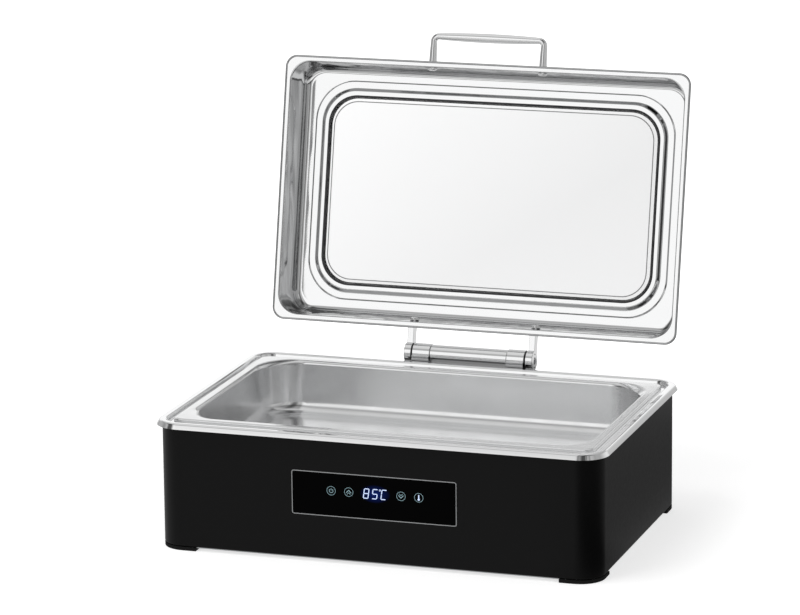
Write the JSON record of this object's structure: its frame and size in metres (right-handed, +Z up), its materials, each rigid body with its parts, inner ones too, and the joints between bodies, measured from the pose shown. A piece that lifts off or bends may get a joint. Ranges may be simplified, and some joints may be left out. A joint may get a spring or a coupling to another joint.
{
  "type": "electric chafing dish",
  "caption": "Rectangular electric chafing dish: black heated stand with a touch panel, water pan and food pan, under a hinged polished lid with a glass window.",
  "frame": {"origin": "centre of the underside of the stand's bottom plate, 3.6 mm above the surface that the feet stand on", "axes": "+X along the long side to the right as seen from the touch panel, +Y from the touch panel to the hinge at the back, +Z up"},
  "size_m": [0.57, 0.5173, 0.5683],
  "materials": {
    "black_coat": "satin fine powder coat",
    "polished_steel": "mirror-polished stainless steel",
    "satin_steel": "satin",
    "zinc_plate": "zinc-plated",
    "aluminium": "cast and milled",
    "brass": "plain",
    "black_plastic": "fine grain",
    "black_glass": "back-printed black, polished",
    "window_glass": "clear, polished",
    "silicone": "matte",
    "foot_rubber": "matte",
    "circuit_board": "solder mask",
    "blue_plastic": "moulded",
    "yellow_tape": "taped winding",
    "lead_jacket": "silicone-jacketed lead",
    "ribbon_grey": "flat cable"
  },
  "bodies": {
    "base": {"food_pan": "polished_steel", "water_pan": "polished_steel", "housing_shell": "black_coat", "base_plate": "satin_steel", "foot_front_left": "foot_rubber", "foot_front_right": "foot_rubber", "foot_rear_left": "foot_rubber", "foot_rear_right": "foot_rubber", "foot_screw_front_left": "zinc_plate", "foot_screw_front_right": "zinc_plate", "foot_screw_rear_left": "zinc_plate", "foot_screw_rear_right": "zinc_plate", "control_bezel": "satin_steel", "control_glass": "black_glass", "control_carrier": "black_plastic", "control_board": "circuit_board", "display_module": "black_plastic", "touch_pad_power": "silicone", "touch_pad_up": "silicone", "touch_pad_down": "silicone", "touch_pad_temperature": "silicone", "heater_plate": "aluminium", "heating_tube": "satin_steel", "heater_strap": "zinc_plate", "strap_nut": "zinc_plate", "temperature_probe": "satin_steel", "thermal_cutout": "black_plastic", "power_board": "circuit_board", "relay": "blue_plastic", "transformer": "yellow_tape", "power_inlet": "black_plastic", "inlet_pin_live": "brass", "inlet_pin_neutral": "brass", "inlet_pin_earth": "brass", "mains_lead": "lead_jacket", "heater_lead": "lead_jacket", "panel_ribbon": "ribbon_grey", "hinge_bracket": "polished_steel", "bracket_backing_plate": "zinc_plate", "bracket_bolt_1": "polished_steel", "bracket_bolt_2": "polished_steel", "bracket_bolt_3": "polished_steel", "bracket_bolt_4": "polished_steel", "hinge_barrel": "polished_steel", "hinge_damper": "aluminium", "hinge_bush_left": "black_plastic", "hinge_bush_right": "black_plastic"},
    "lid": {"lid_shell": "polished_steel", "glass_seal": "silicone", "lid_glass": "window_glass", "lid_handle": "polished_steel", "handle_screw_left": "polished_steel", "handle_screw_right": "polished_steel", "hinge_arm_left": "polished_steel", "hinge_arm_right": "polished_steel", "arm_screw_left": "polished_steel", "arm_screw_right": "polished_steel", "hinge_shaft": "satin_steel", "shaft_screw_left": "satin_steel", "shaft_screw_right": "satin_steel"}
  },
  "joints": [
    {"name": "lid_hinge", "type": "hinge", "parent": "base", "child": "lid", "pos_m": [0, 0.2067, 0.1624], "axis": [1, 0, 0], "range_deg": [0, 102.24]}
  ]
}
